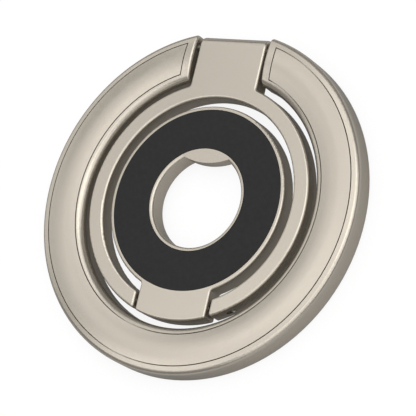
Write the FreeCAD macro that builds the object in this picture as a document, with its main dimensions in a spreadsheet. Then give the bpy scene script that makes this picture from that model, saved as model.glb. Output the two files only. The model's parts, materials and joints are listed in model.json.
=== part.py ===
import FreeCAD, Part
import math
import os
import re

import Sketcher

# A folding ring holder that clings to the back of a phone by magnets, modelled closed and lying flat.
# The origin is the rings' common centre on the plane that the back pad rests on, with +Z out of the
# face and +Y towards the top hinge. Lengths are in millimetres.

document = FreeCAD.newDocument("FoldingRingHolder")

# Driving sizes
SIZES = [
    ("outer_radius", 30.0, "magnet ring, outer wall"),
    ("ring_width", 8.05, "magnet ring, from its outer to its inner wall"),
    ("slot_half_width", 7.1, "magnet ring, half the gap between its ends"),
    ("crown_radius", 14.0, "curve of the magnet ring's front across its width"),
    ("crown_edge_rise", 0.3, "inlay's edges above the flat faces"),
    ("outer_edge_round", 0.85, "magnet ring, front outer edge"),
    ("inner_edge_round", 1.45, "magnet ring, front inner edge"),
    ("end_edge_round", 0.4, "magnet ring, edges of its two ends"),
    ("back_edge_round", 0.3, "magnet ring, back edges"),
    ("face_over_back", 4.0, "flat faces above the magnet ring's metal back"),
    ("inlay_outer_margin", 1.49, "front inlay inside the magnet ring's outer wall"),
    ("inlay_inner_margin", 1.38, "front inlay outside the magnet ring's inner wall"),
    ("inlay_end_margin", 1.68, "front inlay's straight ends from the gap's walls"),
    ("inlay_thickness", 0.8, "front inlay at its edges"),
    ("inlay_seam", 0.17, "hairline gap round the front inlay"),
    ("channel_outer_ledge", 0.51, "outer ledge that the inlay's edge rests on, beside the magnet channel"),
    ("channel_inner_ledge", 0.42, "inner ledge that the inlay's edge rests on"),
    ("channel_end_ledge", 1.82, "ledges that the inlay's ends rest on"),
    ("channel_clearance", 0.06, "keeper and magnets inside the channel walls"),
    ("keeper_thickness", 0.6, "steel keeper behind the inlay"),
    ("magnet_thickness", 2.2, "ring magnets"),
    ("magnet_spacing", 0.3, "gap between neighbouring magnets"),
    ("phone_pad_thickness", 0.6, "soft pad on the back"),
    ("phone_pad_proud", 0.3, "soft pad beyond the metal back"),
    ("phone_pad_outer_margin", 0.85, "soft pad inside the magnet ring's outer wall"),
    ("phone_pad_inner_margin", 0.8, "soft pad outside the magnet ring's inner wall"),
    ("phone_pad_end_margin", 0.9, "soft pad's straight ends from the gap's walls"),
    ("pad_clearance", 0.05, "pads inside their recesses"),
    ("leaf_thickness", 3.38, "middle ring and disc"),
    ("ring_gap", 1.13, "between the magnet ring and the middle ring"),
    ("middle_width", 2.8, "middle ring, from its outer to its inner wall"),
    ("middle_edge_round", 0.42, "middle ring, all long edges"),
    ("middle_tab_side_gap", 0.64, "middle ring's tab from each wall of its gap"),
    ("tab_root_round", 0.6, "inner corners where a tab leaves its ring"),
    ("middle_slot_half_width", 7.3, "middle ring, half the gap for the disc's tab"),
    ("slot_corner_round", 0.4, "middle ring, outer corners of its two ends"),
    ("slot_mouth_round", 0.5, "middle ring, inner corners of its two ends"),
    ("top_hinge_inset", 1.85, "top hinge axis inside the outer corners of the magnet ring's gap"),
    ("bottom_hinge_inset", 1.65, "bottom hinge axis inside the outer corners of the middle ring's gap"),
    ("disc_gap", 1.56, "between the middle ring and the disc"),
    ("disc_width", 8.17, "disc, from its outer wall to its finger hole"),
    ("disc_edge_round", 0.35, "disc, all outer edges"),
    ("disc_tab_side_gap", 0.53, "disc's tab from each wall of its gap"),
    ("disc_tab_heel", 3.0, "disc's tab beyond its hinge axis"),
    ("finger_hole_round", 0.5, "disc, front edge of the finger hole"),
    ("pull_tab_depth", 1.84, "pull tab's tip inside the finger hole's wall"),
    ("pull_tab_radius", 11.4, "curve of the pull tab's tip"),
    ("pull_tab_thickness", 2.1, "pull tab"),
    ("disc_pad_outer_margin", 0.64, "recess of the disc's pad inside the disc's outer wall"),
    ("disc_pad_inner_margin", 0.64, "recess of the disc's pad outside the finger hole's wall"),
    ("disc_pad_thickness", 0.6, "soft pad on the disc"),
    ("pin_radius", 0.5, "hinge pins"),
    ("pin_chamfer", 0.15, "hinge pins, their ends"),
    ("pin_recess", 0.1, "hinge pins' ends below the wall that their bores leave"),
    ("pin_clearance", 0.04, "friction clips round the hinge pins"),
    ("clip_wall", 0.35, "spring strip of the friction clips"),
    ("clip_length", 4.2, "friction clips"),
    ("clip_inset", 0.4, "friction clips inside the tabs' sides"),
    ("clip_slit", 0.5, "slit along the friction clips"),
    ("clip_key_height", 0.3, "key of the friction clips beyond their wall"),
    ("clip_key_width", 0.4, "key of the friction clips"),
]

# The number of magnets round the ring
MAGNET_COUNT = 14

# Two places this close count as one when edges are picked
TOUCH = 1e-4

# Sizes that follow from the driving ones
PLACES = [
    ("bore_radius", "outer_radius - ring_width"),
    ("inlay_inner_radius", "bore_radius + inlay_inner_margin"),
    ("inlay_outer_radius", "outer_radius - inlay_outer_margin"),
    ("inlay_end_offset", "slot_half_width + inlay_end_margin"),
    ("channel_inner_radius", "inlay_inner_radius + channel_inner_ledge"),
    ("channel_outer_radius", "inlay_outer_radius - channel_outer_ledge"),
    ("channel_end_offset", "inlay_end_offset + channel_end_ledge"),
    ("phone_pad_inner_radius", "bore_radius + phone_pad_inner_margin"),
    ("phone_pad_outer_radius", "outer_radius - phone_pad_outer_margin"),
    ("phone_pad_end_offset", "slot_half_width + phone_pad_end_margin"),
    ("middle_outer_radius", "bore_radius - ring_gap"),
    ("middle_inner_radius", "middle_outer_radius - middle_width"),
    ("middle_tab_half_width", "slot_half_width - middle_tab_side_gap"),
    ("top_hinge_offset", "sqrt(outer_radius^2 - slot_half_width^2) - top_hinge_inset"),
    ("bottom_hinge_offset",
     "sqrt(middle_outer_radius^2 - middle_slot_half_width^2) - bottom_hinge_inset"),
    ("disc_radius", "middle_inner_radius - disc_gap"),
    ("disc_tab_half_width", "middle_slot_half_width - disc_tab_side_gap"),
    ("disc_tab_reach", "bottom_hinge_offset + disc_tab_heel"),
    ("finger_hole_radius", "disc_radius - disc_width"),
    ("pull_tab_reach", "finger_hole_radius - pull_tab_depth"),
    ("disc_pad_inner_radius", "finger_hole_radius + disc_pad_inner_margin"),
    ("disc_pad_outer_radius", "disc_radius - disc_pad_outer_margin"),
    ("back_level", "phone_pad_proud"),
    ("face_level", "back_level + face_over_back"),
    ("leaf_back_level", "face_level - leaf_thickness"),
    ("hinge_level", "face_level - leaf_thickness / 2"),
    ("crown_edge_level", "face_level + crown_edge_rise"),
    ("crown_middle", "(inlay_inner_radius + inlay_outer_radius) / 2"),
    ("crown_centre_level",
     "crown_edge_level - sqrt(crown_radius^2 - (inlay_outer_radius - crown_middle)^2)"),
    ("crown_outer_level",
     "crown_centre_level + sqrt(crown_radius^2 - (outer_radius - crown_middle)^2)"),
    ("crown_inner_level",
     "crown_centre_level + sqrt(crown_radius^2 - (crown_middle - bore_radius)^2)"),
    ("inlay_floor_level", "crown_edge_level - inlay_thickness"),
    ("keeper_level", "inlay_floor_level - keeper_thickness"),
    ("magnet_level", "keeper_level - magnet_thickness"),
    ("clip_outer_radius", "pin_radius + pin_clearance + clip_wall"),
    ("middle_tab_end", "top_hinge_offset + leaf_thickness / 2"),
    ("top_pin_half_length",
     "sqrt(outer_radius^2 - (top_hinge_offset + pin_radius)^2) - pin_recess"),
    ("bottom_pin_half_length",
     "sqrt(middle_outer_radius^2 - (bottom_hinge_offset + pin_radius)^2) - pin_recess"),
    ("magnet_inner_radius", "channel_inner_radius + channel_clearance"),
    ("magnet_outer_radius", "channel_outer_radius - channel_clearance"),
    ("channel_end_angle",
     "asin((channel_end_offset + channel_clearance) / magnet_inner_radius) / 1 deg"),
    ("magnet_pitch_angle", f"(360 - 2 * channel_end_angle) / {MAGNET_COUNT}"),
    ("magnet_half_angle",
     "magnet_pitch_angle / 2 - asin(magnet_spacing / 2 / magnet_inner_radius) / 1 deg"),
    ("past_everything", "2 * outer_radius"),
]


def fill_sheets():
    """Write the driving sizes as plain numbers and the derived ones as formulas of them."""
    driving = document.addObject("Spreadsheet::Sheet", "Sizes")
    for row, (alias, value, meaning) in enumerate(SIZES, 1):
        driving.set(f"A{row}", meaning)
        driving.set(f"B{row}", str(value))
        driving.setAlias(f"B{row}", alias)
        sheet_of[alias] = "Sizes"
    document.recompute()
    derived = document.addObject("Spreadsheet::Sheet", "Places")
    for row, (alias, formula) in enumerate(PLACES, 1):
        derived.set(f"A{row}", alias.replace("_", " "))
        derived.set(f"B{row}", "=" + bound(formula).replace("Places.", ""))
        derived.setAlias(f"B{row}", alias)
        sheet_of[alias] = "Places"
        document.recompute()
    return driving


def bound(formula):
    """Put the name of its sheet before each size in a formula."""
    return re.sub(r"[a-z_]+", lambda word: sheet_word(word.group()), formula)


def sheet_word(word):
    return f"{sheet_of[word]}.{word}" if word in sheet_of else word


def number(formula):
    """The present value of a formula."""
    return float(sheet.evalExpression(bound(formula)))


sheet_of = {}
sheet = fill_sheets()
pieces = []


# Sketches
def new_body(name):
    """The body of one piece, whose label names its file."""
    body = document.addObject("PartDesign::Body", name)
    body.Label = name
    pieces.append(body)
    return body


def new_sketch(body, name, plane, height="0"):
    """A sketch on an origin plane of the body, moved along the plane's normal by height."""
    sketch = body.newObject("Sketcher::SketchObject", name)
    support = next(item for item in body.Origin.OriginFeatures if item.Role == plane + "_Plane")
    sketch.AttachmentSupport = [(support, "")]
    sketch.MapMode = "FlatFace"
    sketch.setExpression("AttachmentOffset.Base.z", bound(height))
    return sketch


def constrain(sketch, kind, *places, formula=None):
    """Add a constraint, bound to a formula where it has a size."""
    if formula is None:
        sketch.addConstraint(Sketcher.Constraint(kind, *places))
        return
    index = sketch.addConstraint(Sketcher.Constraint(kind, *places, number(formula)))
    sketch.setExpression(f"Constraints[{index}]", bound(formula))


def fix_point(sketch, edge, end, across, up):
    """Place one end of an edge at (across, up) from the sketch's origin."""
    for kind, axis, formula in (("DistanceX", -2, across), ("DistanceY", -1, up)):
        if formula == "0":
            constrain(sketch, "PointOnObject", edge, end, axis)
        else:
            constrain(sketch, kind, -1, 1, edge, end, formula=formula)


def closed_outline(sketch, corners, arcs=None):
    """Draw lines through the corners. arcs gives, by the number of the corner where it starts, the
    radius of an edge that is an arc, and +1 where it turns left on its way or -1 where right."""
    arcs = arcs or {}
    points = [FreeCAD.Vector(number(across), number(up), 0) for across, up in corners]
    ends = []
    for start, corner in enumerate(points):
        following = points[(start + 1) % len(points)]
        if start in arcs:
            radius, turn = arcs[start]
            edge = sketch.addGeometry(arc_between(corner, following, number(radius), turn))
            constrain(sketch, "Radius", edge, formula=radius)
            ends.append((edge, 1, 2) if turn > 0 else (edge, 2, 1))
        else:
            edge = sketch.addGeometry(Part.LineSegment(corner, following))
            ends.append((edge, 1, 2))
    for start, (across, up) in enumerate(corners):
        edge, first, _ = ends[start]
        previous, _, last = ends[start - 1]
        constrain(sketch, "Coincident", previous, last, edge, first)
        fix_point(sketch, edge, first, across, up)


def arc_between(start, end, radius, turn):
    """The short arc from start to end, which turns left (+1) or right (-1)."""
    chord = end - start
    left = FreeCAD.Vector(-chord.y, chord.x, 0).normalize()
    centre = start + chord * 0.5 + left * turn * math.sqrt(radius**2 - chord.Length**2 / 4)
    angles = [math.atan2(point.y - centre.y, point.x - centre.x) for point in (start, end)]
    if turn < 0:
        angles.reverse()
    circle = Part.Circle(centre, FreeCAD.Vector(0, 0, 1), radius)
    return Part.ArcOfCircle(circle, *angles)


def rectangle(sketch, left, bottom, right, top):
    closed_outline(sketch, [(left, bottom), (right, bottom), (right, top), (left, top)])


def circles(sketch, *radii, across="0", up="0"):
    """Circles round one centre."""
    centre = FreeCAD.Vector(number(across), number(up), 0)
    for radius in radii:
        edge = sketch.addGeometry(Part.Circle(centre, FreeCAD.Vector(0, 0, 1), number(radius)))
        constrain(sketch, "Radius", edge, formula=radius)
        if across == up == "0":
            constrain(sketch, "Coincident", edge, 3, -1, 1)
        else:
            fix_point(sketch, edge, 3, across, up)


def open_ring(sketch, inner, outer, end_offset):
    """A ring that is open at the top between two straight ends, each end_offset from the middle."""
    edges = []
    for radius in (outer, inner):
        half_gap = math.asin(number(end_offset) / number(radius))
        circle = Part.Circle(FreeCAD.Vector(), FreeCAD.Vector(0, 0, 1), number(radius))
        arc = Part.ArcOfCircle(circle, math.pi / 2 + half_gap, 5 * math.pi / 2 - half_gap)
        edge = sketch.addGeometry(arc)
        constrain(sketch, "Coincident", edge, 3, -1, 1)
        constrain(sketch, "Radius", edge, formula=radius)
        edges.append((edge, arc))
    (outer_edge, outer_arc), (inner_edge, inner_arc) = edges
    for end, outer_point, inner_point, side in (
        (1, outer_arc.StartPoint, inner_arc.StartPoint, "-1 * "),
        (2, outer_arc.EndPoint, inner_arc.EndPoint, ""),
    ):
        edge = sketch.addGeometry(Part.LineSegment(outer_point, inner_point))
        constrain(sketch, "Coincident", edge, 1, outer_edge, end)
        constrain(sketch, "Coincident", edge, 2, inner_edge, end)
        constrain(sketch, "Vertical", edge)
        constrain(sketch, "DistanceX", -1, 1, edge, 1, formula=f"{side}({end_offset})")


# Features
def pad(sketch, length, both_ways=False):
    feature = add_feature(sketch, "Pad")
    feature.setExpression("Length", bound(length))
    feature.Midplane = both_ways
    return feature


def pocket(sketch, depth=None, upwards=False):
    """Cut to a depth below the sketch or above it or, with no depth, both ways through everything."""
    feature = add_feature(sketch, "Pocket")
    feature.setExpression("Length", bound(depth or "past_everything"))
    feature.Midplane = depth is None
    feature.Reversed = upwards
    return feature


def revolve(sketch):
    feature = add_feature(sketch, "Revolution")
    feature.ReferenceAxis = (sketch, ["V_Axis"])
    feature.Angle = 360
    return feature


def add_feature(sketch, kind):
    body = sketch.getParentGeoFeatureGroup()
    feature = body.newObject("PartDesign::" + kind, f"{sketch.Name}_{kind.lower()}")
    feature.Profile = sketch
    sketch.Visibility = False
    return feature


def dress_edges(body, name, kind, size, wanted):
    """Round or bevel the body's edges that wanted() picks."""
    document.recompute()
    base = body.Tip
    names = [f"Edge{i}" for i, edge in enumerate(base.Shape.Edges, 1) if wanted(edge)]
    feature = body.newObject("PartDesign::" + kind, name)
    feature.Base = (base, names)
    feature.setExpression("Radius" if kind == "Fillet" else "Size", bound(size))
    document.recompute()
    return feature


def round_blank(blank, name, rules):
    """Round a blank's edges in one go. Each rule is a radius and a test that picks its edges."""
    document.recompute()
    feature = document.addObject("Part::Fillet", name)
    feature.Base = blank
    feature.Edges = [
        (index, number(radius), number(radius))
        for index, edge in enumerate(blank.Shape.Edges, 1)
        for radius, wanted in rules
        if wanted(edge)
    ]
    document.recompute()
    return feature


def on_slot_wall(edge):
    """Whether an edge lies in one of the two walls of the magnet ring's gap."""
    off_wall = abs(abs(edge.BoundBox.XMin) - number("slot_half_width"))
    return edge.BoundBox.XLength < TOUCH and off_wall < TOUCH


def at_level(edge, *levels):
    """Whether an edge lies flat at one of the levels."""
    box = edge.BoundBox
    return box.ZLength < TOUCH and any(abs(box.ZMin - number(level)) < TOUCH for level in levels)


def upright(edge):
    box = edge.BoundBox
    return box.XLength < TOUCH and box.YLength < TOUCH


def middle_of(edge):
    return edge.valueAt((edge.FirstParameter + edge.LastParameter) / 2)


def radius_of(point):
    return math.hypot(point.x, point.y)


# Magnet ring
def make_outer_ring():
    """The cast open ring: crowned front, channel for the magnets, hinge pin bores through its ends."""
    blank = document.addObject("PartDesign::Body", "ring_blank")
    section = new_sketch(blank, "ring_section", "XZ")
    closed_outline(section, [
        ("bore_radius", "back_level"),
        ("outer_radius", "back_level"),
        ("outer_radius", "crown_outer_level"),
        ("bore_radius", "crown_inner_level"),
    ], arcs={2: ("crown_radius", 1)})
    revolve(section)
    slot = new_sketch(blank, "hinge_slot", "XY")
    rectangle(slot, "-1 * slot_half_width", "0", "slot_half_width", "past_everything")
    pocket(slot)
    rounded = round_blank(blank, "ring_rounded", [
        ("outer_edge_round", lambda edge: at_level(edge, "crown_outer_level")),
        ("inner_edge_round", lambda edge: at_level(edge, "crown_inner_level")),
        ("back_edge_round", lambda edge: at_level(edge, "back_level")),
        ("end_edge_round", lambda edge: on_slot_wall(edge) and not at_level(edge, "back_level")),
    ])

    body = new_body("outer_ring")
    body.BaseFeature = rounded
    inlay_seat = new_sketch(body, "inlay_seat", "XY", "inlay_floor_level")
    open_ring(inlay_seat, "inlay_inner_radius - inlay_seam", "inlay_outer_radius + inlay_seam",
              "inlay_end_offset - inlay_seam")
    pocket(inlay_seat, "past_everything", upwards=True)
    channel = new_sketch(body, "magnet_channel", "XY", "inlay_floor_level")
    open_ring(channel, "channel_inner_radius", "channel_outer_radius", "channel_end_offset")
    pocket(channel, "keeper_thickness + magnet_thickness")
    pad_seat = new_sketch(body, "phone_pad_seat", "XY", "phone_pad_thickness")
    open_ring(pad_seat, "phone_pad_inner_radius - pad_clearance",
              "phone_pad_outer_radius + pad_clearance", "phone_pad_end_offset - pad_clearance")
    pocket(pad_seat, "phone_pad_thickness")
    bore = new_sketch(body, "pin_bores", "YZ")
    circles(bore, "pin_radius", across="top_hinge_offset", up="hinge_level")
    pocket(bore)
    return body


def make_inlay_plate():
    """The crowned front cover over the magnets, with a hairline gap all round it."""
    body = new_body("inlay_plate")
    section = new_sketch(body, "inlay_section", "XZ")
    closed_outline(section, [
        ("inlay_inner_radius", "inlay_floor_level"),
        ("inlay_outer_radius", "inlay_floor_level"),
        ("inlay_outer_radius", "crown_edge_level"),
        ("inlay_inner_radius", "crown_edge_level"),
    ], arcs={2: ("crown_radius", 1)})
    revolve(section)
    opening = new_sketch(body, "inlay_opening", "XY")
    rectangle(opening, "-1 * inlay_end_offset", "0", "inlay_end_offset", "past_everything")
    pocket(opening)
    return body


def make_open_plate(name, inner, outer, end_offset, level, thickness):
    """A flat ring that is open at the top."""
    body = new_body(name)
    outline = new_sketch(body, name + "_outline", "XY", level)
    open_ring(outline, inner, outer, end_offset)
    pad(outline, thickness)
    return body


def make_magnets():
    """Curved bar magnets, laid end to end round the channel from one side of the hinge to the other."""
    for index in range(MAGNET_COUNT):
        body = new_body(f"ring_magnet_{index + 1:02d}")
        outline = new_sketch(body, f"magnet_outline_{index + 1:02d}", "XY", "magnet_level")
        corners = [
            (f"{radius} * cos(magnet_half_angle * 1 deg)",
             f"{side} * {radius} * sin(magnet_half_angle * 1 deg)")
            for radius, side in (
                ("magnet_inner_radius", -1), ("magnet_outer_radius", -1),
                ("magnet_outer_radius", 1), ("magnet_inner_radius", 1),
            )
        ]
        closed_outline(outline, corners,
                       arcs={1: ("magnet_outer_radius", 1), 3: ("magnet_inner_radius", -1)})
        pad(outline, "magnet_thickness")
        turn = f"90 + channel_end_angle + {index + 0.5} * magnet_pitch_angle"
        body.setExpression("Placement.Rotation.Angle", bound(turn))


# Hinges
def make_pin(name, offset, half_length):
    body = new_body(name)
    section = new_sketch(body, name + "_section", "YZ")
    circles(section, "pin_radius", across=offset, up="hinge_level")
    pad(section, f"2 * {half_length}", both_ways=True)
    dress_edges(body, name + "_ends", "Chamfer", "pin_chamfer",
                lambda edge: isinstance(edge.Curve, Part.Circle))
    return body


def make_clip(name, offset, start):
    """A spring strip curled round the hinge pin, which grips it, and is keyed into its tab."""
    body = new_body(name)
    section = new_sketch(body, name + "_section", "YZ", start)
    circles(section, "clip_outer_radius", "pin_radius + pin_clearance",
            across=offset, up="hinge_level")
    pad(section, "clip_length")
    key = new_sketch(body, name + "_key", "YZ", start)
    rectangle(key, f"{offset} - clip_key_width / 2",
              "hinge_level - clip_outer_radius - clip_key_height",
              f"{offset} + clip_key_width / 2", "hinge_level - clip_outer_radius + clip_wall / 2")
    pad(key, "clip_length")
    slit = new_sketch(body, name + "_slit", "YZ", start)
    rectangle(slit, f"{offset} + clip_key_width / 2", "hinge_level - 2 * clip_outer_radius",
              f"{offset} + clip_key_width / 2 + clip_slit", "hinge_level")
    pocket(slit, "clip_length", upwards=True)
    return body


def bore_tab(body, name, offset, half_width):
    """Bore a tab for its pin's two friction clips, with a keyway along the bore's bottom."""
    bore = new_sketch(body, name + "_bore", "YZ")
    circles(bore, "clip_outer_radius", across=offset, up="hinge_level")
    cut = pocket(bore, f"2 * {half_width}")
    cut.Midplane = True
    key = new_sketch(body, name + "_keyway", "YZ")
    rectangle(key, f"{offset} - clip_key_width / 2",
              "hinge_level - clip_outer_radius - clip_key_height",
              f"{offset} + clip_key_width / 2", "hinge_level")
    cut = pocket(key, f"2 * {half_width}")
    cut.Midplane = True


# Middle ring
def make_middle_ring():
    """The leaf between the two hinges: a flat ring, a tab with a rounded end, and a gap opposite."""
    body = new_body("middle_ring")
    outline = new_sketch(body, "middle_outline", "XY", "leaf_back_level")
    circles(outline, "middle_outer_radius")
    pad(outline, "leaf_thickness")
    tab = new_sketch(body, "middle_tab", "YZ")
    closed_outline(tab, [
        ("0", "leaf_back_level"),
        ("top_hinge_offset", "leaf_back_level"),
        ("middle_tab_end", "hinge_level"),
        ("top_hinge_offset", "face_level"),
        ("0", "face_level"),
    ], arcs={1: ("leaf_thickness / 2", 1), 2: ("leaf_thickness / 2", 1)})
    pad(tab, "2 * middle_tab_half_width", both_ways=True)
    dress_edges(body, "middle_tab_root", "Fillet", "tab_root_round", lambda edge: (
        upright(edge) and abs(abs(middle_of(edge).x) - number("middle_tab_half_width")) < TOUCH
    ))
    bore = new_sketch(body, "middle_bore", "XY")
    circles(bore, "middle_inner_radius")
    pocket(bore)
    slot = new_sketch(body, "middle_slot", "XY")
    rectangle(slot, "-1 * middle_slot_half_width", "-1 * past_everything",
              "middle_slot_half_width", "0")
    pocket(slot)
    half_slot = number("middle_slot_half_width")
    split = number("(middle_outer_radius + middle_inner_radius) / 2")
    dress_edges(body, "slot_corners", "Fillet", "slot_corner_round", lambda edge: (
        upright(edge) and abs(abs(edge.BoundBox.XMin) - half_slot) < TOUCH
        and radius_of(middle_of(edge)) > split
    ))
    dress_edges(body, "slot_mouths", "Fillet", "slot_mouth_round", lambda edge: (
        upright(edge) and abs(abs(edge.BoundBox.XMin) - half_slot) < TOUCH
        and radius_of(middle_of(edge)) < split
    ))
    dress_edges(body, "middle_edges", "Fillet", "middle_edge_round",
                lambda edge: at_level(edge, "face_level", "leaf_back_level")
                and abs(middle_of(edge).x) > number("middle_tab_half_width") - TOUCH)
    bore_tab(body, "middle_tab", "top_hinge_offset", "middle_tab_half_width")
    pins = new_sketch(body, "middle_pin_bores", "YZ")
    circles(pins, "pin_radius", across="-1 * bottom_hinge_offset", up="hinge_level")
    pocket(pins)
    return body


# Disc
def make_disc():
    """The inner leaf: a disc with a finger hole, a pull tab, a hinge tab and a recess for its pad."""
    body = new_body("disc")
    outline = new_sketch(body, "disc_outline", "XY", "leaf_back_level")
    circles(outline, "disc_radius")
    pad(outline, "leaf_thickness")
    tab = new_sketch(body, "disc_tab", "XY", "leaf_back_level")
    tab_corner = "-1 * sqrt(disc_tab_reach^2 - disc_tab_half_width^2)"
    closed_outline(tab, [
        ("-1 * disc_tab_half_width", "0"),
        ("-1 * disc_tab_half_width", tab_corner),
        ("disc_tab_half_width", tab_corner),
        ("disc_tab_half_width", "0"),
    ], arcs={1: ("disc_tab_reach", 1)})
    pad(tab, "leaf_thickness")
    dress_edges(body, "disc_tab_root", "Fillet", "tab_root_round", lambda edge: (
        upright(edge) and abs(radius_of(middle_of(edge)) - number("disc_radius")) < TOUCH
        and middle_of(edge).y < -number("finger_hole_radius")
    ))
    dress_edges(body, "disc_tab_corners", "Fillet", "disc_edge_round", lambda edge: (
        upright(edge) and abs(radius_of(middle_of(edge)) - number("disc_tab_reach")) < TOUCH
    ))
    dress_edges(body, "disc_edges", "Fillet", "disc_edge_round",
                lambda edge: at_level(edge, "face_level", "leaf_back_level"))
    hole = new_sketch(body, "finger_hole", "XY")
    circles(hole, "finger_hole_radius")
    pocket(hole)
    dress_edges(body, "finger_hole_edge", "Fillet", "finger_hole_round", lambda edge: (
        at_level(edge, "face_level")
        and abs(radius_of(middle_of(edge)) - number("finger_hole_radius")) < TOUCH
    ))
    recess = new_sketch(body, "disc_pad_seat", "XY", "face_level")
    circles(recess, "disc_pad_outer_radius", "disc_pad_inner_radius")
    pocket(recess, "disc_pad_thickness")
    add_pull_tab(body)
    bore_tab(body, "disc_tab", "-1 * bottom_hinge_offset", "disc_tab_half_width")
    return body


def add_pull_tab(body):
    """Fill the top of the finger hole with a lens flush with the face, for a fingernail to lift."""
    outline = new_sketch(body, "pull_tab", "XY", "face_level")
    centre = number("pull_tab_reach + pull_tab_radius")
    tip_radius = number("pull_tab_radius")
    root_radius = number("disc_pad_inner_radius")
    meet_up = (root_radius**2 - tip_radius**2 + centre**2) / (2 * centre)
    meet_across = math.sqrt(root_radius**2 - meet_up**2)
    left = FreeCAD.Vector(-meet_across, meet_up, 0)
    right = FreeCAD.Vector(meet_across, meet_up, 0)
    tip = outline.addGeometry(arc_between(left, right, tip_radius, 1))
    root = outline.addGeometry(arc_between(right, left, root_radius, 1))
    constrain(outline, "Coincident", tip, 2, root, 1)
    constrain(outline, "Coincident", root, 2, tip, 1)
    constrain(outline, "Coincident", root, 3, -1, 1)
    constrain(outline, "Radius", root, formula="disc_pad_inner_radius")
    constrain(outline, "Radius", tip, formula="pull_tab_radius")
    fix_point(outline, tip, 3, "0", "pull_tab_reach + pull_tab_radius")
    feature = pad(outline, "pull_tab_thickness")
    feature.Reversed = True


def make_disc_pad():
    """The soft ring set flush in the disc's face."""
    body = new_body("disc_pad")
    outline = new_sketch(body, "disc_pad_outline", "XY", "face_level - disc_pad_thickness")
    circles(outline, "disc_pad_outer_radius - pad_clearance",
            "disc_pad_inner_radius + pad_clearance")
    pad(outline, "disc_pad_thickness")
    return body


def make_all():
    make_outer_ring()
    make_inlay_plate()
    make_open_plate("ring_keeper", "magnet_inner_radius", "magnet_outer_radius",
                    "channel_end_offset + channel_clearance", "keeper_level", "keeper_thickness")
    make_magnets()
    make_open_plate("phone_pad", "phone_pad_inner_radius", "phone_pad_outer_radius",
                    "phone_pad_end_offset", "0", "phone_pad_thickness")
    make_middle_ring()
    make_disc()
    make_disc_pad()
    make_pin("top_hinge_pin", "top_hinge_offset", "top_pin_half_length")
    make_pin("bottom_hinge_pin", "-1 * bottom_hinge_offset", "bottom_pin_half_length")
    for name, offset, half_width in (
        ("top", "top_hinge_offset", "middle_tab_half_width"),
        ("bottom", "-1 * bottom_hinge_offset", "disc_tab_half_width"),
    ):
        make_clip(name + "_clip_left", offset, f"clip_inset - {half_width}")
        make_clip(name + "_clip_right", offset, f"{half_width} - clip_inset - clip_length")


def check_and_export():
    """Stop at a feature that failed, then write each piece's solid to its own file."""
    document.recompute()
    for item in document.Objects:
        if "Invalid" in item.State or "Error" in item.State:
            raise RuntimeError(f"{item.Name} failed: {item.State}")
    for piece in pieces:
        if piece.Shape.isNull() or not piece.Shape.isValid() or len(piece.Shape.Solids) != 1:
            raise RuntimeError(f"{piece.Label} is not one valid solid")
    os.makedirs("parts", exist_ok=True)
    for piece in pieces:
        piece.Shape.exportStep(f"parts/{piece.Label}.step")
        print(f"{piece.Label}: {piece.Shape.Volume:.2f} mm3")


make_all()
check_and_export()
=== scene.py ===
import json
import math

import bmesh
import bpy
from mathutils import Euler, Matrix, Vector


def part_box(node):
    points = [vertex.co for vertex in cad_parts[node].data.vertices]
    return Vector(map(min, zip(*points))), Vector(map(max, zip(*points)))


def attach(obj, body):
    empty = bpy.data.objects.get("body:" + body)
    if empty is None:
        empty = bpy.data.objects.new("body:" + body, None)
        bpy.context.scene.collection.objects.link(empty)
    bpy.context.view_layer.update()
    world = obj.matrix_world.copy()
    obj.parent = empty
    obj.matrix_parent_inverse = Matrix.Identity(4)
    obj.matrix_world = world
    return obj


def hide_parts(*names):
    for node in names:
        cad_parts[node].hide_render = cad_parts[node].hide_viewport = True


# The looks of a folding magnetic ring holder that lies closed on its back. Lengths are in metres.

MM = 0.001

# Camera, as the photograph was taken
CAMERA_PLACE = Vector((218.30, -93.56, 344.54)) * MM
CAMERA_TARGET = Vector((2.738, -1.300, 4.365)) * MM
CAMERA_UP = Vector((-0.07799, 0.94861, 0.30669))
CAMERA_LENS = 216.35
CAMERA_NEAR = 10 * MM
SENSOR_WIDTH = 36.0

# Floor, just under the back pad: its colour as the object mirrors it and as the camera sees it,
# and how much of plain white each kind of ray sees in it
FLOOR_SIZE = 4.0
FLOOR_LEVEL = -0.01 * MM
FLOOR_COLOUR = (0.52, 0.52, 0.52, 1)
FLOOR_SEEN_COLOUR = (0.92, 0.92, 0.92, 1)
FLOOR_WHITE = (("Is Camera Ray", 0.88), ("Is Transmission Ray", 0.88), ("Is Glossy Ray", 0.1))

# World: the strength of its light, and its colour, which the camera sees at full strength
WORLD_LIGHT = 0.26
WORLD_COLOUR = (1.0, 1.0, 1.0, 1)

# Soft lamps: name, azimuth from +X and elevation in degrees, width, height, radiance
LAMP_DISTANCE = 0.6
LAMP_COLOUR = (1.0, 1.0, 1.0)
LAMPS = [
    ("top_lamp", 0, 90, 0.6, 0.6, 0.58),
    ("high_back_lamp", 120, 66, 0.5, 0.5, 0.41),
    ("high_front_lamp", 210, 70, 0.5, 0.5, 0.4),
    ("back_lamp", 120, 50, 0.35, 0.35, 0.45),
    ("left_back_lamp", 150, 50, 0.35, 0.35, 0.25),
    ("left_lamp", 180, 50, 0.35, 0.35, 0.48),
    ("low_back_lamp", 128, 27, 0.35, 0.25, 0.8),
    ("low_left_lamp", 165, 20, 0.5, 0.34, 0.8),
    ("front_left_lamp", 219, 52, 0.45, 0.28, 0.8),
    ("front_lamp", 295, 38, 0.6, 0.34, 0.7),
    ("low_front_lamp", 300, 9, 0.6, 0.16, 0.5),
    ("high_front_right_lamp", 300, 64, 0.5, 0.35, 1.05),
    ("high_right_lamp", 34, 66, 0.4, 0.35, 1.65),
    ("back_right_lamp", 78, 52, 0.4, 0.3, 1.1),
    ("right_lamp", 5, 42, 0.8, 0.4, 1.35),
]

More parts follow.
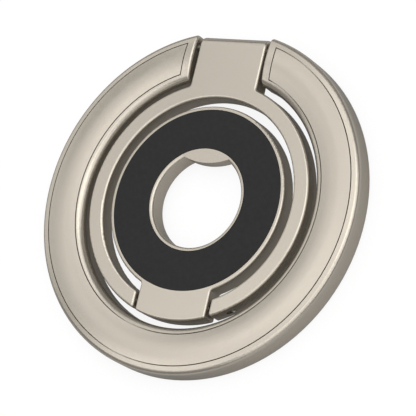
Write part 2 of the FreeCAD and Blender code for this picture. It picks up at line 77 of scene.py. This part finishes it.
# Metals: two colours that mix in soft patches, how metallic they are,
# the range of their roughness and how strong their grain is
METALS = {
    "champagne_metal": (((0.5, 0.457, 0.392, 1), (0.49, 0.447, 0.382, 1)), 0.85, (0.23, 0.27), 0.1),
    "nickel": (((0.62, 0.61, 0.58, 1), (0.6, 0.58, 0.55, 1)), 1.0, (0.2, 0.26), 0.02),
    "steel": (((0.5, 0.5, 0.5, 1), (0.46, 0.46, 0.46, 1)), 1.0, (0.28, 0.36), 0.05),
}
METAL_EDGE_COLOUR = (0.5, 0.5, 0.5, 1)
METAL_GRAIN_DEPTH = 0.01 * MM

# Silicones: their two colours and the range of their roughness
RUBBERS = {
    "back_rubber": (((0.03, 0.03, 0.03, 1), (0.035, 0.035, 0.035, 1)), (0.7, 0.8)),
    "face_rubber": (((0.0135, 0.0135, 0.0135, 1), (0.0165, 0.0165, 0.0165, 1)), (0.75, 0.85)),
}
RUBBER_SHINE = 0.3
RUBBER_GRAIN = 0.15
RUBBER_GRAIN_DEPTH = 0.02 * MM

# Noise: its scales per metre for patches of colour, clouds of roughness and grain,
# how detailed it is, and the range that most of its values lie in
METAL_SCALES = (150.0, 900.0, 6000.0)
RUBBER_SCALES = (300.0, 1200.0, 4000.0)
CLOUD_DETAIL = 2.0
GRAIN_DETAIL = 3.0
NOISE_RANGE = (0.3, 0.7)

# The finish that each slot of the part has
FINISHES = {
    "champagne_metal": "champagne_metal",
    "magnet": "nickel",
    "keeper_steel": "steel",
    "hinge_steel": "steel",
    "back_pad": "back_rubber",
    "face_pad": "face_rubber",
}

# Soft pads, whose outer radii and heights are those of their nodes
DISC_PAD_WIDTH = 6.79 * MM
BACK_PAD_WIDTH = 6.4 * MM
BACK_PAD_OPENING = 8.0 * MM
PAD_ROUND = 0.1 * MM
PAD_ROUND_STEPS = 4
PAD_STEPS = 240
SHARP_TURN = math.radians(35)

# Rounds of the pieces in this slot: the turn from which an edge over a round is halved,
# and how many times that is done
ROUND_SLOT = "champagne_metal"
ROUND_STEP = math.radians(14)
ROUND_PASSES = 3


def add_object(name, data):
    made = bpy.data.objects.new(name, data)
    bpy.context.scene.collection.objects.link(made)
    return made


# Nodes
def empty_tree(owner):
    """The node tree of a material or a world, with nothing in it."""
    owner.use_nodes = True
    owner.node_tree.nodes.clear()
    return owner.node_tree


def noise(tree, scale, detail=CLOUD_DETAIL):
    """Noise fixed to the object, with its scale per metre."""
    place = tree.nodes.new("ShaderNodeTexCoord")
    texture = tree.nodes.new("ShaderNodeTexNoise")
    texture.inputs["Scale"].default_value = scale
    texture.inputs["Detail"].default_value = detail
    tree.links.new(place.outputs["Object"], texture.inputs["Vector"])
    return texture.outputs["Fac"]


def spread(tree, value, low, high):
    """Map the range that noise has onto the range from low to high."""
    start, end = NOISE_RANGE
    ramp = tree.nodes.new("ShaderNodeMapRange")
    ramp.inputs["From Min"].default_value = start
    ramp.inputs["From Max"].default_value = end
    ramp.inputs["To Min"].default_value = low
    ramp.inputs["To Max"].default_value = high
    tree.links.new(value, ramp.inputs["Value"])
    return ramp.outputs["Result"]


def mix_colours(tree, share, first, second):
    mix = tree.nodes.new("ShaderNodeMix")
    mix.data_type = "RGBA"
    coloured = [socket for socket in mix.inputs if socket.type == "RGBA"]
    coloured[0].default_value = first
    coloured[1].default_value = second
    tree.links.new(share, mix.inputs["Factor"])
    return next(socket for socket in mix.outputs if socket.type == "RGBA")


def show_mixed(tree, share, first, second, output):
    """Show two shaders, with the given share of the second."""
    mix = tree.nodes.new("ShaderNodeMixShader")
    tree.links.new(share, mix.inputs["Fac"])
    tree.links.new(first.outputs[0], mix.inputs[1])
    tree.links.new(second.outputs[0], mix.inputs[2])
    tree.links.new(mix.outputs[0], tree.nodes.new(output).inputs["Surface"])


# Finishes
def grained_material(name, colours, roughness, scales, grain, grain_depth):
    """A material whose colour and roughness vary a little, with a fine grain, and its shader."""
    patches, clouds, grains = scales
    material = bpy.data.materials.new(name)
    tree = empty_tree(material)
    shader = tree.nodes.new("ShaderNodeBsdfPrincipled")
    output = tree.nodes.new("ShaderNodeOutputMaterial")
    bump = tree.nodes.new("ShaderNodeBump")
    bump.inputs["Strength"].default_value = grain
    bump.inputs["Distance"].default_value = grain_depth
    colour = mix_colours(tree, noise(tree, patches), *colours)
    tree.links.new(colour, shader.inputs["Base Color"])
    tree.links.new(spread(tree, noise(tree, clouds), *roughness), shader.inputs["Roughness"])
    tree.links.new(noise(tree, grains, GRAIN_DETAIL), bump.inputs["Height"])
    tree.links.new(bump.outputs["Normal"], shader.inputs["Normal"])
    tree.links.new(shader.outputs["BSDF"], output.inputs["Surface"])
    return material, shader


def satin_metal(name, colours, metallic, roughness, grain):
    """Metal with an even colour, a soft gloss and a grain finer than the eye resolves."""
    material, shader = grained_material(name, colours, roughness, METAL_SCALES, grain, METAL_GRAIN_DEPTH)
    shader.inputs["Metallic"].default_value = metallic
    shader.inputs["Specular Tint"].default_value = METAL_EDGE_COLOUR
    return material


def soft_rubber(name, colours, roughness):
    """Matt silicone with a fine leathery grain."""
    material, shader = grained_material(
        name, colours, roughness, RUBBER_SCALES, RUBBER_GRAIN, RUBBER_GRAIN_DEPTH
    )
    shader.inputs["Specular IOR Level"].default_value = RUBBER_SHINE
    return material


# Soft pads
def quarter_round():
    """Steps over the round edge of a pad: how far in from its side and how far under its face."""
    turns = [math.pi / 2 * step / PAD_ROUND_STEPS for step in range(PAD_ROUND_STEPS + 1)]
    return [(PAD_ROUND * (1 - math.cos(turn)), PAD_ROUND * (1 - math.sin(turn))) for turn in turns]


def pad_section(inner, outer, thickness):
    """Corners of a pad's section, as radius and depth under its shown face, whose edges are round."""
    outside = [(outer - inset, depth) for inset, depth in quarter_round()]
    inside = [(inner + inset, depth) for inset, depth in reversed(quarter_round())]
    return [(outer, thickness), *outside, *inside, (inner, thickness)]


def pad_stations(opening):
    """Where the section is placed: its distance from the opening, its share of the way and its depth."""
    shares = [step / PAD_STEPS for step in range(PAD_STEPS)]
    if not opening:
        return [(0.0, share, 0.0) for share in shares]
    first = [(inset, 0.0, depth) for inset, depth in quarter_round()]
    last = [(inset, 1.0, depth) for inset, depth in reversed(quarter_round())]
    return [*first, *((PAD_ROUND, share, 0.0) for share in shares[1:]), *last]


def ring_pad(name, inner, outer, hidden, shown, opening=0.0):
    """
    A soft ring with the given radii and the heights of its hidden and its shown face.
    Where it has an opening, of that half width, it is at the top.
    """
    away = 1 if hidden > shown else -1
    section = pad_section(inner, outer, abs(hidden - shown))
    shape = bmesh.new()
    loops = []
    for inset, share, end_depth in pad_stations(opening):
        loop = []
        for radius, depth in section:
            gap = math.asin((opening + inset) / radius)
            angle = math.pi / 2 + gap + share * (2 * math.pi - 2 * gap)
            height = shown + away * max(depth, end_depth)
            loop.append(shape.verts.new((radius * math.cos(angle), radius * math.sin(angle), height)))
        loops.append(loop)
    pairs = list(zip(loops, loops[1:]))
    if opening:
        shape.faces.new(loops[0])
        shape.faces.new(loops[-1])
    else:
        pairs.append((loops[-1], loops[0]))
    for first, second in pairs:
        for index in range(len(section)):
            following = (index + 1) % len(section)
            shape.faces.new((first[index], first[following], second[following], second[index]))
    bmesh.ops.recalc_face_normals(shape, faces=shape.faces)
    mesh = bpy.data.meshes.new(name)
    shape.to_mesh(mesh)
    shape.free()
    for face in mesh.polygons:
        face.use_smooth = True
    mesh.set_sharp_from_angle(angle=SHARP_TURN)
    return add_object(name, mesh)


def make_disc_pad():
    low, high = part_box("disc_pad")
    return ring_pad("disc_soft_pad", high.x - DISC_PAD_WIDTH, high.x, low.z, high.z)


def make_back_pad():
    low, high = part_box("phone_pad")
    return ring_pad("back_soft_pad", high.x - BACK_PAD_WIDTH, high.x, high.z, low.z, BACK_PAD_OPENING)


# Metal pieces
def smooth_copy(name, node):
    """A copy of a metal piece, cut more finely along its rounds, so that they catch light evenly."""
    mesh = node.data.copy()
    mesh.name = name + "_finished"
    shape = bmesh.new()
    shape.from_mesh(mesh)
    shape.verts.ensure_lookup_table()
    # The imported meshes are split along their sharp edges, so each vertex faces one way
    facing = {}
    for loop, corner in zip(mesh.loops, mesh.corner_normals):
        facing[shape.verts[loop.vertex_index]] = corner.vector.copy()
    even_triangles(shape)
    for _ in range(ROUND_PASSES):
        for edge in inner_edges(shape):
            split_round(edge, facing)
        bmesh.ops.triangulate(shape, faces=[face for face in shape.faces if len(face.verts) > 3])
        even_triangles(shape)
    shape.verts.index_update()
    directions = [facing[vertex] for vertex in shape.verts]
    shape.to_mesh(mesh)
    shape.free()
    mesh.normals_split_custom_set_from_vertices(directions)
    return add_object(mesh.name, mesh)


def inner_edges(shape):
    return [edge for edge in shape.edges if len(edge.link_faces) == 2]


def even_triangles(shape):
    """Turn diagonals until the triangles follow the surface."""
    bmesh.ops.beautify_fill(shape, faces=shape.faces, edges=inner_edges(shape), method="ANGLE")


def split_round(edge, facing):
    """Halve an edge that spans too much of a round, with its new vertex on the round."""
    start, end = edge.verts
    first, last = facing[start], facing[end]
    if first.angle(last) < ROUND_STEP:
        return
    # The middle of the cubic curve that runs square to where the surface faces at both ends
    run = end.co - start.co
    place = (start.co + end.co) / 2 - (run.dot(first) * first - run.dot(last) * last) / 8
    _, middle = bmesh.utils.edge_split(edge, start, 0.5)
    middle.co = place
    facing[middle] = (first + last).normalized()


# Camera, world, floor and lamps
def make_camera():
    data = bpy.data.cameras.new("camera")
    data.sensor_width = SENSOR_WIDTH
    data.lens = CAMERA_LENS
    data.clip_start = CAMERA_NEAR
    camera = add_object("camera", data)
    back = (CAMERA_PLACE - CAMERA_TARGET).normalized()
    right = CAMERA_UP.cross(back).normalized()
    up = back.cross(right)
    turn = Matrix((right, up, back)).transposed().to_4x4()
    camera.matrix_world = Matrix.Translation(CAMERA_PLACE) @ turn
    bpy.context.scene.camera = camera


def make_world():
    world = bpy.data.worlds.new("studio")
    tree = empty_tree(world)
    light = tree.nodes.new("ShaderNodeBackground")
    light.inputs["Color"].default_value = WORLD_COLOUR
    light.inputs["Strength"].default_value = WORLD_LIGHT
    seen = tree.nodes.new("ShaderNodeBackground")
    seen.inputs["Color"].default_value = WORLD_COLOUR
    path = tree.nodes.new("ShaderNodeLightPath")
    show_mixed(tree, path.outputs["Is Camera Ray"], light, seen, "ShaderNodeOutputWorld")
    bpy.context.scene.world = world


def white_share(tree, path):
    """How much of plain white the kind of ray that meets the floor sees in it."""
    total = None
    for ray, share in FLOOR_WHITE:
        part = tree.nodes.new("ShaderNodeMath")
        part.operation = "MULTIPLY"
        part.inputs[1].default_value = share
        tree.links.new(path.outputs[ray], part.inputs[0])
        if total is None:
            total = part.outputs[0]
            continue
        larger = tree.nodes.new("ShaderNodeMath")
        larger.operation = "MAXIMUM"
        tree.links.new(total, larger.inputs[0])
        tree.links.new(part.outputs[0], larger.inputs[1])
        total = larger.outputs[0]
    return total


def make_floor():
    """A pale floor that looks white and keeps a faint shadow."""
    mesh = bpy.data.meshes.new("floor")
    half = FLOOR_SIZE / 2
    corners = [(x, y, FLOOR_LEVEL) for x, y in ((-half, -half), (half, -half), (half, half), (-half, half))]
    mesh.from_pydata(corners, [], [(0, 1, 2, 3)])
    floor = add_object("floor", mesh)
    material = bpy.data.materials.new("floor_white")
    tree = empty_tree(material)
    path = tree.nodes.new("ShaderNodeLightPath")
    matt = tree.nodes.new("ShaderNodeBsdfDiffuse")
    colour = mix_colours(tree, path.outputs["Is Camera Ray"], FLOOR_COLOUR, FLOOR_SEEN_COLOUR)
    tree.links.new(colour, matt.inputs["Color"])
    white = tree.nodes.new("ShaderNodeEmission")
    show_mixed(tree, white_share(tree, path), matt, white, "ShaderNodeOutputMaterial")
    mesh.materials.append(material)


def make_lamps():
    """Soft lamps in the shape of ellipses, which face the origin."""
    for name, azimuth, elevation, width, height, radiance in LAMPS:
        data = bpy.data.lights.new(name, "AREA")
        data.shape = "ELLIPSE"
        data.size = height
        data.size_y = width
        data.color = LAMP_COLOUR
        area = math.pi * width * height / 4
        data.energy = radiance * math.pi * area
        lamp = add_object(name, data)
        turn = Euler((0, math.radians(90 - elevation), math.radians(azimuth)))
        lamp.location = turn.to_matrix() @ Vector((0, 0, LAMP_DISTANCE))
        lamp.rotation_euler = turn


def dress(frame):
    """Give each piece its finish, with finer pieces in place of the pads and the champagne metal."""
    record = frame["record"]
    slots = {part["node"]: part["material_slot"] for part in record["subparts"]}
    bodies = {node: body for body, nodes in record["behaviour"]["bodies"].items() for node in nodes}
    materials = {name: satin_metal(name, *values) for name, values in METALS.items()}
    materials.update({name: soft_rubber(name, *values) for name, values in RUBBERS.items()})
    finer = {"disc_pad": make_disc_pad(), "phone_pad": make_back_pad()}
    for name, slot in slots.items():
        if slot == ROUND_SLOT:
            finer[name] = smooth_copy(name, frame["nodes"][name])
    for name, piece in [*frame["nodes"].items(), *finer.items()]:
        piece.data.materials.clear()
        piece.data.materials.append(materials[FINISHES[slots[name]]])
    for name, piece in finer.items():
        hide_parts(name)
        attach(piece, bodies[name])


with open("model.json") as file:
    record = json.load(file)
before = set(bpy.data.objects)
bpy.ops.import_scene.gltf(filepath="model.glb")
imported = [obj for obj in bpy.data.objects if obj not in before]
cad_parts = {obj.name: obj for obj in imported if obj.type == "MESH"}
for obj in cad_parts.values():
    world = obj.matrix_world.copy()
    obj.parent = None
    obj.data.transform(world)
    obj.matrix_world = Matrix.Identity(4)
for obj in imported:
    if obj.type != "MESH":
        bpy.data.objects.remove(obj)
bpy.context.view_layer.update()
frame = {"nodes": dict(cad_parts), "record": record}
bpy.context.scene.view_settings.view_transform = "Standard"
make_camera()
make_world()
make_floor()
make_lamps()
dress(frame)
